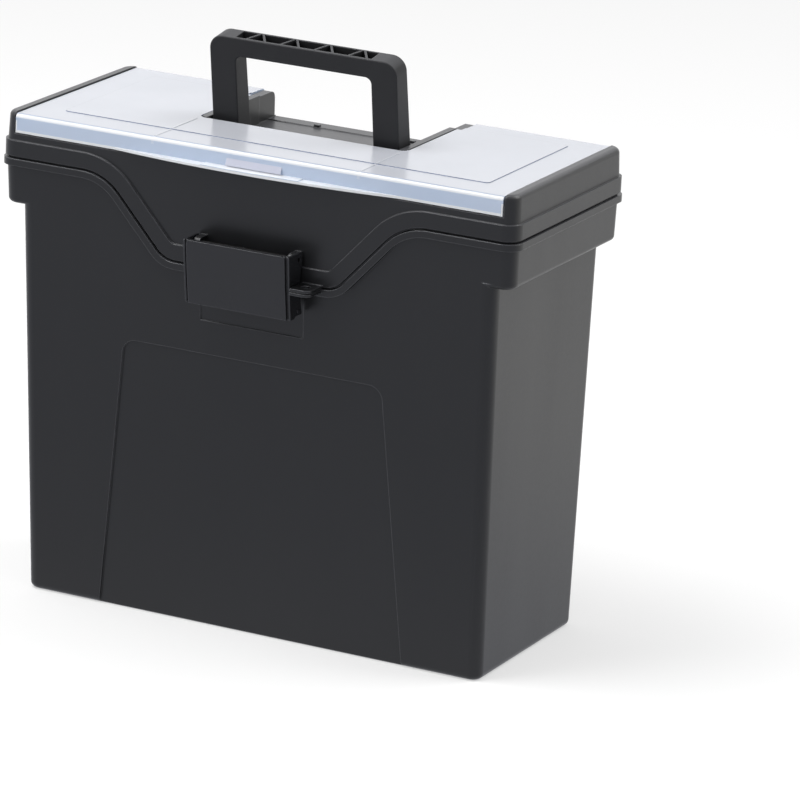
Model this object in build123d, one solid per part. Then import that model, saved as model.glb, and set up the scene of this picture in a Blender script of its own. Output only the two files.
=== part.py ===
"""Portable file box: a deep tapered tub, a hinged lid with an organiser tray and a folding
carry handle, a clear organiser cover hinged on the lid, and a front latch.

Millimetres. +Z up, +X to the right seen from the front, -Y towards the front. The origin is on
the flat base, under the centre of the rim.
"""
import os
from math import atan2, degrees, hypot, radians, tan

from build123d import *

# ---- driving dimensions -----------------------------------------------------------------------
LENGTH = 340.0            # rim flange, end to end
RIM_DEPTH = 151.0         # rim flange, front to back
HEIGHT = 298.0            # base to the top of the lid's end walls
LID_HEIGHT = 28.0         # parting line to the top of the lid
LATCH_REACH = 17.6        # top of the latch in front of the rim flange
WALL = 2.4                # moulded wall of tub and lid
FLOOR = 2.6               # tub floor
CORNER = 8.0              # upright corners at the rim
BASE_CORNER = 7.0         # upright corners at the base
BASE_EDGE = 4.0           # rounding round the base

# ---- tub --------------------------------------------------------------------------------------
BASE_LENGTH = 304.6       # outside length at the base
BODY_LENGTH = 313.4       # outside length of the body, carried up to the parting line
BASE_FRONT = 58.5         # front wall at the base, in front of the rim's centre
BASE_REAR = 70.0          # rear wall at the base, behind the rim's centre
FLANGE_STEP = 2.0         # flange beyond the front wall and the collar
REAR_FLANGE_STEP = 3.2    # flange beyond the rear wall
FLANGE_HEIGHT = 4.2
COLLAR_HEIGHT = 28.0      # end collars, from the parting line down
COLLAR_DRAFT = 0.8        # collar narrows by this at its lower edge, each end
COLLAR_EDGE = 3.0
RAIL_HEIGHT = 8.0         # upstand that carries the folder hooks
RAIL_CLEAR = 14.0         # rail ends stop this far from the front and rear walls
PANEL_DROP = 54.0         # recessed panel on the front, below the floor of the dip
PANEL_TOP_WIDTH = 171.0
PANEL_BASE_WIDTH = 208.0
PANEL_CORNER = 9.0
PANEL_RECESS = 1.4
GRIP_WIDTH = 68.0         # finger scoop under the latch
GRIP_DROP = 33.2          # its lower edge below the floor of the dip
GRIP_DEEP = 0.9           # depth at its lower edge
GRIP_SHALLOW = 0.1        # depth at the parting line

# ---- parting line: flat at the rim, dipping in a trapezoid at the front -------------------------
DIP_DEPTH = 45.5
DIP_TOP_WIDTH = 197.0     # between the corners where the slopes leave the rim
DIP_SLOPE = 47.5          # slopes from the horizontal, degrees
DIP_TOP_ROUND = 34.0
DIP_FLOOR_ROUND = 17.0
SEAT_GAP = 0.3            # lid above the rim
SHADOW_GAP = 1.5          # visible groove between band and flange
SHADOW_DEPTH = 1.6

# ---- lid --------------------------------------------------------------------------------------
BAND_HEIGHT = 11.0        # proud lower band
BAND_INSET = 0.7          # band behind the flange, all round
BAND_STEP = 1.5           # upper wall behind the band
WALL_DRAFT = 0.6
END_WALL = 7.3            # double end walls, overall
END_CREST = 3.3           # rounding along their tops
APRON_DROP = 13.0         # front wall top below the top of the lid
TRAY_FLOOR_DROP = 23.6    # tray floor below the top of the lid
TRAY_DECK = 2.4           # thickness of the tray floor
COVER_LEDGE = 2.4         # ledge that the cover rests on
FRONT_WALL_BACK = 6.2     # tray's front wall behind the outer face
REAR_DECK_DROP = 8.2      # rear deck below the top of the lid
DIVIDER = 1.8
DIVIDER_DROP = 5.0

# ---- handle well in the lid ---------------------------------------------------------------------
WELL_SIDE_GAP = 2.0       # between a handle leg and the side wall
WELL_FRONT = -15.8        # inner face of its front wall
WELL_WALL = 4.5           # side walls
WELL_WALL_DROP = 0.2      # side wall tops below the top of the lid
WELL_FLOOR_DROP = 18.0    # well floor below the top of the lid
WELL_DECK = 2.4
WELL_SILL = 8.0           # raised strip along the open rear edge
WELL_SILL_HEIGHT = 0.5
EAR_WIDTH = 7.5           # hinge ears behind the side walls, out from the well's sides
EAR_SETBACK = 1.3         # ears' inner faces behind those of the side walls
EAR_DROP = 1.5            # ears' tops below the top of the lid
EAR_FRONT = 51.0
EAR_ROUND = 4.0
NIB_SPREAD = 64.0         # two small nibs at the front of the sill
NIB_SIZE = 4.0
NIB_HEIGHT = 1.2

# ---- organiser cover ----------------------------------------------------------------------------
COVER_SHEET = 1.8
COVER_DROP = 0.8          # cover below the top of the lid
COVER_SIDE_GAP = 0.8
COVER_SEAT_GAP = 0.2
COVER_WELL_GAP = 0.8
LIP_GAP = 0.6             # lip above the apron's ledge
COVER_EDGE = 2.8          # rounding along the lip's top
COVER_CORNER = 5.0        # round the well's front corners
BARREL_RADIUS = 3.2
BARREL_BACK = 3.7         # barrel axis in front of the lid's outer rear face
BARREL_GAP = 0.6          # between the barrel and the tray's rear wall
STUB_RADIUS = 1.6
STUB_LENGTH = 2.4
PULL_WIDTH = 197.0        # crescent finger pull under the lip
PULL_REACH = 7.4
PULL_THICK = 1.5
PULL_PAD_WIDTH = 64.0     # thicker middle of the finger pull
PULL_PAD_HEIGHT = 0.5
CATCH_WIDTH = 36.4        # sloping catch pad at the middle of the lip
CATCH_TOP_DROP = 5.0      # pad below the top of the cover
CATCH_HEIGHT = 4.2
CATCH_PROUD = 1.7
BORDER_FRONT = 22.0       # plain border round the raised panel
BORDER_SIDE = 20.0
BORDER_REAR = 14.0
PANEL_CORNER_ROUND = 2.5
PANEL_PROUD = 0.45
RIB_THICK = 1.4
RIB_HEIGHT = 2.2
RIB_END_GAP = 1.0         # ribs stop this far from the walls of the tray
RIB_BEAD = 0.2            # ribs stand this far above the sheet as well

# ---- handle -------------------------------------------------------------------------------------
HANDLE_WIDTH = 123.4
LEG_WIDTH = 17.0
HANDLE_DEPTH = 13.5
LEG_FLARE = 2.0           # legs are this much deeper at the pivot
HANDLE_HEIGHT = 62.2      # pivot to the top of the grip
GRIP_HEIGHT = 11.6
HANDLE_LEAN = 9.1         # the handle stands this far forward of upright, degrees
HANDLE_ROUND = 8.8
HANDLE_INNER_ROUND = 4.0
HANDLE_EDGE = 0.9
TRUSS_LENGTH = 89.5       # open pocket in the top of the grip
TRUSS_WALL = 1.8
TRUSS_DEPTH = 9.0
TRUSS_RIB = 1.3
TRUSS_PAIRS = 4           # V-shaped pairs of ribs across the pocket
TRUSS_SPREAD = 12.0       # between the feet of a pair, at the front
TRUSS_SHIFT = 2.2         # feet stand this far right of the middle of their bay
TRUSS_APEX = 1.9          # between the heads of a pair, at the rear
TRUSS_LEAN = 1.1          # heads stand this far left of the middle of the feet
PIVOT_Y = -3.2
PIVOT_RISE = 9.0          # pivot above the well floor
HANDLE_PIN_RADIUS = 2.0
LUG_THICK = 4.0
LUG_RADIUS = 5.0
LUG_GAP = 0.5

# ---- latch --------------------------------------------------------------------------------------
LATCH_WIDTH = 69.4
LATCH_RISE = 20.7         # top of the latch above the floor of the dip
LATCH_FOLD_RISE = 1.5     # below this the face slopes in more
LATCH_DROP = 18.3         # lower edge below the floor of the dip
LATCH_LEAN = 2.2          # how far the face has sloped in at the fold
LATCH_TUCK = 5.2          # and at its lower edge
LATCH_SHEET = 3.0
LATCH_SIDE = 1.25
LATCH_SIDE_BACK = 1.0     # side walls' front edges behind the face
LATCH_REAR_GAP = 0.7      # side walls in front of the flange
LATCH_HEEL_GAP = 1.9      # side walls in front of the lid's upper wall
LATCH_HEEL_CHAMFER = 0.6
LATCH_SKIRT_REACH = 2.8   # side walls reach back this far under the flange
LATCH_GROOVE = 1.2        # gap between face plate and side walls
LATCH_GROOVE_DEPTH = 2.0
LATCH_PLATE_ROUND = 2.2   # upper corners of the face plate
LATCH_TOE = 1.2           # side walls' rear half stops this far above the lower edge
LATCH_NUB_RADIUS = 1.0    # small nub low on each side wall
LATCH_NUB_HEIGHT = 0.3
LATCH_NUB_RISE = 3.8
LATCH_NUB_INSET = 1.8     # nub in front of the side wall's rear edge
LATCH_PIVOT_STANDOFF = 6.2  # pivot in front of the lid's upper wall
LATCH_PIVOT_DROP = 4.2    # pivot below the top of the latch
LATCH_PIN_RADIUS = 1.5
LATCH_LUG_THICK = 4.0
LATCH_LUG_RADIUS = 3.4
KEEPER_WIDTH = 44.0
KEEPER_DROP = 8.0         # top of the keeper below the floor of the dip
KEEPER_HEIGHT = 9.0
KEEPER_NOSE = 5.0         # nose in front of the rim flange
KEEPER_SLOPE = 0.406      # slope of the wedge that the latch rides off, run per rise
SNAP_GAP = 0.5
SNAP_HEIGHT = 5.0

# ---- padlock ears -------------------------------------------------------------------------------
PAD_EAR_THICK = 1.7
PAD_EAR_WIDTH = 13.0
PAD_EAR_REACH = 15.6      # in front of the rim flange
PAD_EAR_GAP = 0.6         # beside the latch
PAD_EAR_ROUND = 5.0
PAD_HOLE_BACK = 8.0       # hole's centre behind the ear's front edge
PAD_HOLE_RADIUS = 2.75

# ---- lid hinge ----------------------------------------------------------------------------------
HINGE_SITES = (-95.0, 95.0)
HINGE_RADIUS = 3.2
HINGE_DROP = 1.5          # axis below the parting line
HINGE_LENGTH = 46.0
HINGE_LID_KNUCKLE = 22.0
HINGE_SIDE_GAP = 0.4
HINGE_PIN_RADIUS = 1.25
HINGE_RELIEF = 5.2        # lid stays outside this radius about the axis
HINGE_BLOCK_DEPTH = 6.0
HINGE_BLOCK_HEIGHT = 12.0

# ---- fits ---------------------------------------------------------------------------------------
RUNNING = 0.05            # radial clearance of a pin in the piece that turns on it
OVERCUT = 1.0             # how far a cutter runs past the face that it starts from
PAST = 20.0               # and past all that it cuts

# ---- worked out ---------------------------------------------------------------------------------
PARTING_Z = HEIGHT - LID_HEIGHT
RIM_X = LENGTH / 2
RIM_Y = RIM_DEPTH / 2
BODY_FRONT = RIM_Y - FLANGE_STEP
BODY_REAR = RIM_Y - REAR_FLANGE_STEP
COLLAR_X = RIM_X - FLANGE_STEP
COLLAR_Z = PARTING_Z - COLLAR_HEIGHT
DIP_REACH = DIP_TOP_WIDTH / 2 + DIP_TOP_ROUND
DIP_FLOOR = PARTING_Z - DIP_DEPTH
PANEL_TOP = DIP_FLOOR - PANEL_DROP
GRIP_BOTTOM = DIP_FLOOR - GRIP_DROP
LATCH_FACE = -(RIM_Y + LATCH_REACH)

BAND_X = RIM_X - BAND_INSET
BAND_Y = RIM_Y - BAND_INSET
LID_X = BAND_X - BAND_STEP
LID_Y = BAND_Y - BAND_STEP
LID_INNER_X = LID_X - WALL
LID_INNER_Y = LID_Y - WALL
BAND_TOP = PARTING_Z + BAND_HEIGHT
APRON_TOP = HEIGHT - APRON_DROP
TRAY_X = LID_X - END_WALL
TRAY_FLOOR = HEIGHT - TRAY_FLOOR_DROP
TRAY_FRONT = -(LID_Y - FRONT_WALL_BACK)
REAR_DECK = HEIGHT - REAR_DECK_DROP

WELL_X = HANDLE_WIDTH / 2 + WELL_SIDE_GAP
WELL_FLOOR = HEIGHT - WELL_FLOOR_DROP
WELL_WALL_TOP = HEIGHT - WELL_WALL_DROP
WELL_OUTER_X = WELL_X + WELL_WALL
EAR_OUTER_X = WELL_X + EAR_WIDTH
EAR_INNER_X = WELL_X + EAR_SETBACK
EAR_TOP = HEIGHT - EAR_DROP
PIVOT_Z = WELL_FLOOR + PIVOT_RISE

COVER_TOP = HEIGHT - COVER_DROP
COVER_UNDER = COVER_TOP - COVER_SHEET
COVER_SEAT = COVER_UNDER - COVER_SEAT_GAP
COVER_X = TRAY_X - COVER_SIDE_GAP
COVER_FRONT = -LID_Y
BARREL_Y = LID_Y - BARREL_BACK
BARREL_Z = COVER_TOP - BARREL_RADIUS
LIP_BOTTOM = APRON_TOP + LIP_GAP
TRAY_REAR = BARREL_Y - BARREL_RADIUS - BARREL_GAP - WALL

HINGE_Y = RIM_Y - HINGE_RADIUS
HINGE_Z = PARTING_Z - HINGE_DROP
LATCH_TOP = DIP_FLOOR + LATCH_RISE
LATCH_FOLD = DIP_FLOOR + LATCH_FOLD_RISE
LATCH_BOTTOM = DIP_FLOOR - LATCH_DROP
LATCH_PIVOT_Y = -(LID_Y + LATCH_PIVOT_STANDOFF)
LATCH_PIVOT_Z = LATCH_TOP - LATCH_PIVOT_DROP
LATCH_SIDE_REAR = -(RIM_Y + LATCH_REAR_GAP)
KEEPER_TOP = DIP_FLOOR - KEEPER_DROP
KEEPER_BOTTOM = KEEPER_TOP - KEEPER_HEIGHT


# ---- helpers ------------------------------------------------------------------------------------
def block(x0, x1, y0, y1, z0, z1):
    """A box between two opposite corners."""
    centre = Pos((x0 + x1) / 2, (y0 + y1) / 2, (z0 + z1) / 2)
    return centre * Box(x1 - x0, y1 - y0, z1 - z0)


def rod(radius, x0, x1, y, z):
    """A round bar along X."""
    return Pos((x0 + x1) / 2, y, z) * Rot(0, 90, 0) * Cylinder(radius, x1 - x0)


def front_prism(face, y0, y1):
    """A face drawn in X and Z, carried from y0 to y1."""
    return extrude(Pos(0, y1, 0) * (Plane.XZ * face), amount=y1 - y0)


def side_prism(face, x0, x1):
    """A face drawn in Y and Z, carried from x0 to x1."""
    return extrude(Pos(x0, 0, 0) * (Plane.YZ * face), amount=x1 - x0)


def outline(*points):
    """A flat face with straight sides."""
    return make_face(Polyline(*points, close=True))


def tapered_block(z0, low, z1, high):
    """A rounded rectangle at z0 joined to one at z1, each as half length, front, rear, corner."""
    sections = []
    for z, (half, front, rear, corner) in ((z0, low), (z1, high)):
        rectangle = RectangleRounded(2 * half, front + rear, corner)
        sections.append(Pos(0, (rear - front) / 2, z) * rectangle)
    return loft(sections, ruled=True)


def rounded_block(half_x, half_y, corner, z0, z1):
    """A rounded rectangle carried from z0 to z1."""
    return extrude(Pos(0, 0, z0) * RectangleRounded(2 * half_x, 2 * half_y, corner), amount=z1 - z0)


def mirrored(shape):
    """A shape together with its mirror image across the middle of the box."""
    return shape + mirror(shape, Plane.YZ)


def body_half(z):
    """Outside half length of the tub's body at height z."""
    return BASE_LENGTH / 2 + (BODY_LENGTH - BASE_LENGTH) / 2 * z / PARTING_Z


def body_front(z):
    """Distance from the rim's centre to the front wall's outside at height z."""
    return BASE_FRONT + (BODY_FRONT - BASE_FRONT) * z / PARTING_Z


def body_rear(z):
    """Distance from the rim's centre to the rear wall's outside at height z."""
    return BASE_REAR + (BODY_REAR - BASE_REAR) * z / PARTING_Z


def above_parting(rise):
    """Front outline of all that lies more than rise above the parting line."""
    half_angle = tan(radians(DIP_SLOPE) / 2)
    top_z = PARTING_Z + rise
    floor_z = top_z - DIP_DEPTH
    top_x = DIP_TOP_WIDTH / 2 - rise * half_angle
    floor_x = top_x - DIP_DEPTH / tan(radians(DIP_SLOPE))
    line = FilletPolyline(
        (-LENGTH, top_z), (-top_x, top_z), (-floor_x, floor_z),
        (floor_x, floor_z), (top_x, top_z), (LENGTH, top_z),
        radius=[DIP_TOP_ROUND + rise, DIP_FLOOR_ROUND - rise, DIP_FLOOR_ROUND - rise, DIP_TOP_ROUND + rise],
    )
    roof = Polyline((LENGTH, top_z), (LENGTH, HEIGHT + PAST), (-LENGTH, HEIGHT + PAST), (-LENGTH, top_z))
    return make_face(line + roof)


def parting_cutter(rise):
    """Everything more than rise above the parting surface."""
    front = front_prism(above_parting(rise), -RIM_Y - LATCH_REACH - PAST, 0)
    rear = block(-LENGTH, LENGTH, -PAST, RIM_DEPTH, PARTING_Z + rise, HEIGHT + PAST)
    return front + rear


# ---- tub ----------------------------------------------------------------------------------------
def tub_shell():
    """Tapered body with its end collars, hollow and open at the top."""
    base = (BASE_LENGTH / 2, BASE_FRONT, BASE_REAR, BASE_CORNER)
    rim = (BODY_LENGTH / 2, BODY_FRONT, BODY_REAR, CORNER)
    body = tapered_block(0, base, PARTING_Z, rim)
    body = fillet(body.edges().group_by(Axis.Z)[0], BASE_EDGE)

    low_x = COLLAR_X - COLLAR_DRAFT
    low = (low_x, body_front(COLLAR_Z), body_rear(COLLAR_Z), CORNER)
    high = (COLLAR_X, BODY_FRONT, BODY_REAR, CORNER)
    collar = tapered_block(COLLAR_Z, low, PARTING_Z, high)
    ends = collar.faces().sort_by(Axis.X)
    lower_edges = [face.edges().sort_by(Axis.Z)[0] for face in (ends[0], ends[-1])]
    collar = fillet(lower_edges, COLLAR_EDGE)
    return body + collar


def tub_cavity():
    """The space for papers, with a shelf behind each collar."""
    z0 = FLOOR
    low = (body_half(z0) - WALL, body_front(z0) - WALL, body_rear(z0) - WALL, BASE_CORNER - WALL)
    high = (BODY_LENGTH / 2 - WALL, BODY_FRONT - WALL, BODY_REAR - WALL, CORNER - WALL)
    body = tapered_block(z0, low, PARTING_Z, high)
    z1 = COLLAR_Z + WALL
    shelf_x = COLLAR_X - WALL
    low = (shelf_x - COLLAR_DRAFT, body_front(z1) - WALL, body_rear(z1) - WALL, CORNER - WALL)
    high = (shelf_x, BODY_FRONT - WALL, BODY_REAR - WALL, CORNER - WALL)
    return body + tapered_block(z1, low, PARTING_Z, high)


def folder_rails():
    """Upstands at the inner edges of the end shelves, which carry the folder hooks."""
    shelf_z = COLLAR_Z + WALL
    outer = body_half(shelf_z)
    rail = block(outer - WALL, outer, -body_front(COLLAR_Z) + RAIL_CLEAR, body_rear(COLLAR_Z) - RAIL_CLEAR,
                 COLLAR_Z, shelf_z + RAIL_HEIGHT)
    return mirrored(rail)


def tub_flange():
    """Flange round the rim, which follows the dip across the front."""
    ring = rounded_block(RIM_X, RIM_Y, CORNER + FLANGE_STEP, PARTING_Z - FLANGE_HEIGHT, PARTING_Z)
    across = front_prism(above_parting(-FLANGE_HEIGHT), -RIM_Y, -body_front(DIP_FLOOR) + WALL)
    across = across & block(-DIP_REACH, DIP_REACH, -RIM_Y, 0, 0, PARTING_Z)
    return ring + across


def front_panel():
    """Recess of the front panel, open at the base."""
    line = outline(
        (-PANEL_BASE_WIDTH / 2, -PAST), (PANEL_BASE_WIDTH / 2, -PAST),
        (PANEL_TOP_WIDTH / 2, PANEL_TOP), (-PANEL_TOP_WIDTH / 2, PANEL_TOP),
    )
    line = fillet(line.vertices().group_by(Axis.Y)[-1], PANEL_CORNER)
    slab = front_prism(line, -RIM_Y, 0)
    return slab - wall_slab(PANEL_RECESS)


def wall_slab(recess):
    """All that lies further back than recess behind the leaning front face."""
    return side_prism(outline(
        (-BASE_FRONT + recess, 0), (-BODY_FRONT + recess, PARTING_Z), (RIM_DEPTH, PARTING_Z),
        (RIM_DEPTH, -PAST), (-BASE_FRONT + recess + PAST * (BODY_FRONT - BASE_FRONT) / PARTING_Z, -PAST),
    ), -LENGTH, LENGTH)


def finger_scoop():
    """Shallow scoop under the latch, deepest at its lower edge."""
    front = -body_front(DIP_FLOOR)
    floor_line = side_prism(outline(
        (-body_front(GRIP_BOTTOM) + GRIP_DEEP, GRIP_BOTTOM), (front + GRIP_SHALLOW, DIP_FLOOR),
        (-RIM_DEPTH, DIP_FLOOR), (-RIM_DEPTH, GRIP_BOTTOM),
    ), -GRIP_WIDTH / 2, GRIP_WIDTH / 2)
    under_flange = DIP_FLOOR - FLANGE_HEIGHT
    return floor_line & block(-GRIP_WIDTH / 2, GRIP_WIDTH / 2, front, 0, GRIP_BOTTOM, under_flange)


def keeper():
    """Wedge that the latch snaps over."""
    nose = -(RIM_Y + KEEPER_NOSE)
    foot = nose + (KEEPER_TOP - KEEPER_BOTTOM) * KEEPER_SLOPE
    back = -body_front(KEEPER_BOTTOM) + WALL
    return side_prism(outline(
        (back, KEEPER_TOP), (nose, KEEPER_TOP), (foot, KEEPER_BOTTOM), (back, KEEPER_BOTTOM),
    ), -KEEPER_WIDTH / 2, KEEPER_WIDTH / 2)


def padlock_ear(z0):
    """One of the two stacked ears beside the latch."""
    inner = LATCH_WIDTH / 2 + PAD_EAR_GAP
    outer = inner + PAD_EAR_WIDTH
    front = -(RIM_Y + PAD_EAR_REACH)
    plate = block(inner, outer, front, -LID_Y + WALL / 2, z0, z0 + PAD_EAR_THICK)
    corner = plate.edges().filter_by(Axis.Z).group_by(Axis.Y)[0].sort_by(Axis.X)[-1]
    plate = fillet(corner, PAD_EAR_ROUND)
    hole = Pos(pad_hole_x(), pad_hole_y(), z0) * Cylinder(PAD_HOLE_RADIUS, 4 * PAD_EAR_THICK)
    return plate - hole


def pad_hole_x():
    """Padlock hole, across the box."""
    return LATCH_WIDTH / 2 + PAD_EAR_GAP + PAD_EAR_WIDTH / 2


def pad_hole_y():
    """Padlock hole, front to back."""
    return -(RIM_Y + PAD_EAR_REACH) + PAD_HOLE_BACK


def tub_hinge(site):
    """Thickened wall and two knuckles at one hinge."""
    x0 = site - HINGE_LENGTH / 2
    x1 = site + HINGE_LENGTH / 2
    inner = BODY_REAR - HINGE_BLOCK_DEPTH
    low = PARTING_Z - HINGE_BLOCK_HEIGHT
    chunk = side_prism(outline(
        (BODY_REAR - WALL / 2, low - HINGE_BLOCK_DEPTH), (inner, low),
        (inner, PARTING_Z), (BODY_REAR - WALL / 2, PARTING_Z),
    ), x0, x1)
    return chunk + rod(HINGE_RADIUS, x0, x1, HINGE_Y, HINGE_Z)


def tub_hinge_cut(site):
    """Room for the lid's knuckle at one hinge, and the bore for the pin."""
    x0 = site - HINGE_LID_KNUCKLE / 2 - HINGE_SIDE_GAP
    x1 = site + HINGE_LID_KNUCKLE / 2 + HINGE_SIDE_GAP
    swing = HINGE_RADIUS + HINGE_SIDE_GAP
    room = rod(swing, x0, x1, HINGE_Y, HINGE_Z)
    room += block(x0, x1, HINGE_Y - swing, RIM_Y + PAST, HINGE_Z, PARTING_Z + PAST)
    room += block(x0, x1, HINGE_Y, RIM_Y + PAST, HINGE_Z - swing, PARTING_Z + PAST)
    bore = rod(HINGE_PIN_RADIUS, site - HINGE_LENGTH, site + HINGE_LENGTH, HINGE_Y, HINGE_Z)
    return room + bore


def make_tub():
    """The moulded tub."""
    shell = tub_shell() + tub_flange()
    shell = shell - tub_cavity() - parting_cutter(0) - front_panel() - finger_scoop()
    shell = shell + folder_rails() + keeper()
    shell = shell + padlock_ear(DIP_FLOOR - PAD_EAR_THICK)
    for site in HINGE_SITES:
        shell = shell + tub_hinge(site)
    for site in HINGE_SITES:
        shell = shell - tub_hinge_cut(site)
    return shell


# ---- lid ----------------------------------------------------------------------------------------
def lid_outside():
    """Outer form of the lid: proud band, drafted upper wall, apron that fills the dip."""
    upper_low = (LID_X, LID_Y, LID_Y, CORNER)
    upper_high = (LID_X - WALL_DRAFT, LID_Y - WALL_DRAFT, LID_Y - WALL_DRAFT, CORNER)
    upper = tapered_block(BAND_TOP, upper_low, HEIGHT, upper_high)
    ends = upper.faces().sort_by(Axis.X)
    crests = [face.edges().sort_by(Axis.Z)[-1] for face in (ends[0], ends[-1])]
    upper = fillet(crests, END_CREST)
    upper_lower = rounded_block(LID_X, LID_Y, CORNER, PARTING_Z, BAND_TOP)
    band = rounded_block(BAND_X, BAND_Y, CORNER + BAND_STEP, PARTING_Z, BAND_TOP)
    apron = front_prism(above_parting(SEAT_GAP), -LID_Y, -LID_INNER_Y)
    apron = apron & block(-DIP_REACH, DIP_REACH, -LID_Y, 0, 0, BAND_TOP)
    band_front = front_prism(above_parting(SEAT_GAP) - above_parting(BAND_HEIGHT), -BAND_Y, -LID_INNER_Y)
    band_front = band_front & block(-DIP_REACH, DIP_REACH, -BAND_Y, 0, 0, BAND_TOP)
    band = band - front_prism(above_parting(BAND_HEIGHT), -BAND_Y - PAST, -LID_Y)
    return upper + upper_lower + band + apron + band_front


def lid_under():
    """The hollow underside, between the outer walls and the tray."""
    low = PARTING_Z - PAST
    hollow = rounded_block(LID_INNER_X, LID_INNER_Y, CORNER - WALL, low, TRAY_FLOOR - TRAY_DECK)
    hollow += block(-WELL_X, WELL_X, WELL_FRONT, LID_INNER_Y, low, WELL_FLOOR - WELL_DECK)
    end_top = HEIGHT - END_CREST - WALL
    hollow += mirrored(block(TRAY_X, LID_INNER_X, TRAY_FRONT, TRAY_REAR, low, end_top))
    rear_top = REAR_DECK - WALL
    side = block(EAR_OUTER_X, TRAY_X, TRAY_REAR + WALL, LID_INNER_Y, low, rear_top)
    return hollow + mirrored(side)


def tray_pockets():
    """Organiser compartments: one at each end, and one between them in front of the well."""
    top = HEIGHT + PAST
    inner = TRAY_X - COVER_LEDGE
    front = TRAY_FRONT
    well_back = WELL_FRONT - WALL
    end = block(WELL_OUTER_X, inner, front, EAR_FRONT, TRAY_FLOOR, top)
    end += block(EAR_OUTER_X, inner, front, TRAY_REAR, TRAY_FLOOR, top)
    centre = block(-WELL_OUTER_X, WELL_OUTER_X, front, well_back, TRAY_FLOOR, top)
    divider_top = COVER_SEAT - DIVIDER_DROP
    divider = block(WELL_OUTER_X - DIVIDER, WELL_OUTER_X, front - WALL, well_back, 0, divider_top)
    return mirrored(end) + centre - mirrored(divider)


def cover_space():
    """What is cleared above the tray so that the cover lies between the end walls."""
    top = HEIGHT + PAST
    plan = round_well_corners(cover_outline(-COVER_WELL_GAP), COVER_CORNER - COVER_WELL_GAP)
    space = extrude(Pos(0, 0, COVER_SEAT) * plan, amount=top - COVER_SEAT)
    space += block(-TRAY_X, TRAY_X, -RIM_DEPTH, TRAY_FRONT - WALL, APRON_TOP, top)
    side = block(COVER_X, TRAY_X, -RIM_DEPTH, RIM_DEPTH, COVER_SEAT, top)
    side += block(EAR_OUTER_X, TRAY_X, TRAY_REAR + WALL, RIM_DEPTH, REAR_DECK, top)
    return space + mirrored(side)


def handle_well():
    """The well that the handle folds into, open at the rear."""
    top = HEIGHT + PAST
    sill_front = LID_Y - WELL_SILL
    well = block(-WELL_X, WELL_X, WELL_FRONT, EAR_FRONT, WELL_FLOOR, top)
    well += block(-EAR_INNER_X, EAR_INNER_X, EAR_FRONT, sill_front, WELL_FLOOR, top)
    return well + block(-EAR_INNER_X, EAR_INNER_X, EAR_FRONT, RIM_DEPTH, WELL_FLOOR + WELL_SILL_HEIGHT, top)


def sill_nibs():
    """Two small nibs at the front edge of the sill."""
    front = LID_Y - WELL_SILL
    top = WELL_FLOOR + WELL_SILL_HEIGHT + NIB_HEIGHT
    x0 = NIB_SPREAD / 2 - NIB_SIZE / 2
    return mirrored(block(x0, x0 + NIB_SIZE, front, front + NIB_SIZE / 2, WELL_FLOOR - WELL_DECK / 2, top))


def well_wall_trim():
    """Brings the well's side walls and ears to their heights and rounds the ears at the rear."""
    top = HEIGHT + PAST
    inner = WELL_X - PAST
    trim = block(inner, EAR_OUTER_X, WELL_FRONT, RIM_DEPTH, WELL_WALL_TOP, top)
    trim += block(inner, EAR_OUTER_X, EAR_FRONT, RIM_DEPTH, EAR_TOP, top)
    corner_y = LID_Y - WALL_DRAFT - EAR_ROUND
    corner = block(inner, EAR_OUTER_X, corner_y, RIM_DEPTH, EAR_TOP - EAR_ROUND, top)
    corner -= rod(EAR_ROUND, inner, EAR_OUTER_X, corner_y, EAR_TOP - EAR_ROUND)
    return mirrored(trim + corner)


def handle_lugs():
    """Upright lugs on the well floor, one each side of each handle leg."""
    outer_face = HANDLE_WIDTH / 2 + LUG_GAP
    inner_face = HANDLE_WIDTH / 2 - LEG_WIDTH - LUG_GAP
    lugs = None
    for x0, x1 in ((inner_face - LUG_THICK, inner_face), (outer_face, WELL_X + WELL_WALL / 2)):
        post = block(x0, x1, PIVOT_Y - LUG_RADIUS, PIVOT_Y + LUG_RADIUS, WELL_FLOOR - WELL_DECK / 2, PIVOT_Z)
        lug = post + rod(LUG_RADIUS, x0, x1, PIVOT_Y, PIVOT_Z)
        lugs = lug if lugs is None else lugs + lug
    return mirrored(lugs)


def handle_pin_span():
    """Inner and outer ends of a handle pin."""
    inner = HANDLE_WIDTH / 2 - LEG_WIDTH - LUG_GAP - LUG_THICK
    return inner, WELL_X + WELL_WALL / 2


def cover_bores():
    """Blind bores for the cover's stub pins, in the end walls and the ears."""
    radius = STUB_RADIUS + RUNNING
    outer = rod(radius, TRAY_X - OVERCUT, TRAY_X + STUB_LENGTH, BARREL_Y, BARREL_Z)
    inner = rod(radius, EAR_OUTER_X - STUB_LENGTH, EAR_OUTER_X + OVERCUT, BARREL_Y, BARREL_Z)
    return mirrored(outer + inner)


def latch_lugs():
    """Two lugs on the apron that the latch hangs from."""
    outer = LATCH_WIDTH / 2 - LATCH_SIDE - LUG_GAP
    inner = outer - LATCH_LUG_THICK
    low = LATCH_PIVOT_Z - LATCH_LUG_RADIUS
    high = LATCH_PIVOT_Z + LATCH_LUG_RADIUS
    lug = block(inner, outer, LATCH_PIVOT_Y, -LID_INNER_Y, low, high)
    lug += rod(LATCH_LUG_RADIUS, inner, outer, LATCH_PIVOT_Y, LATCH_PIVOT_Z)
    lug -= rod(LATCH_PIN_RADIUS + RUNNING, inner - OVERCUT, outer + OVERCUT, LATCH_PIVOT_Y, LATCH_PIVOT_Z)
    return mirrored(lug)


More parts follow.
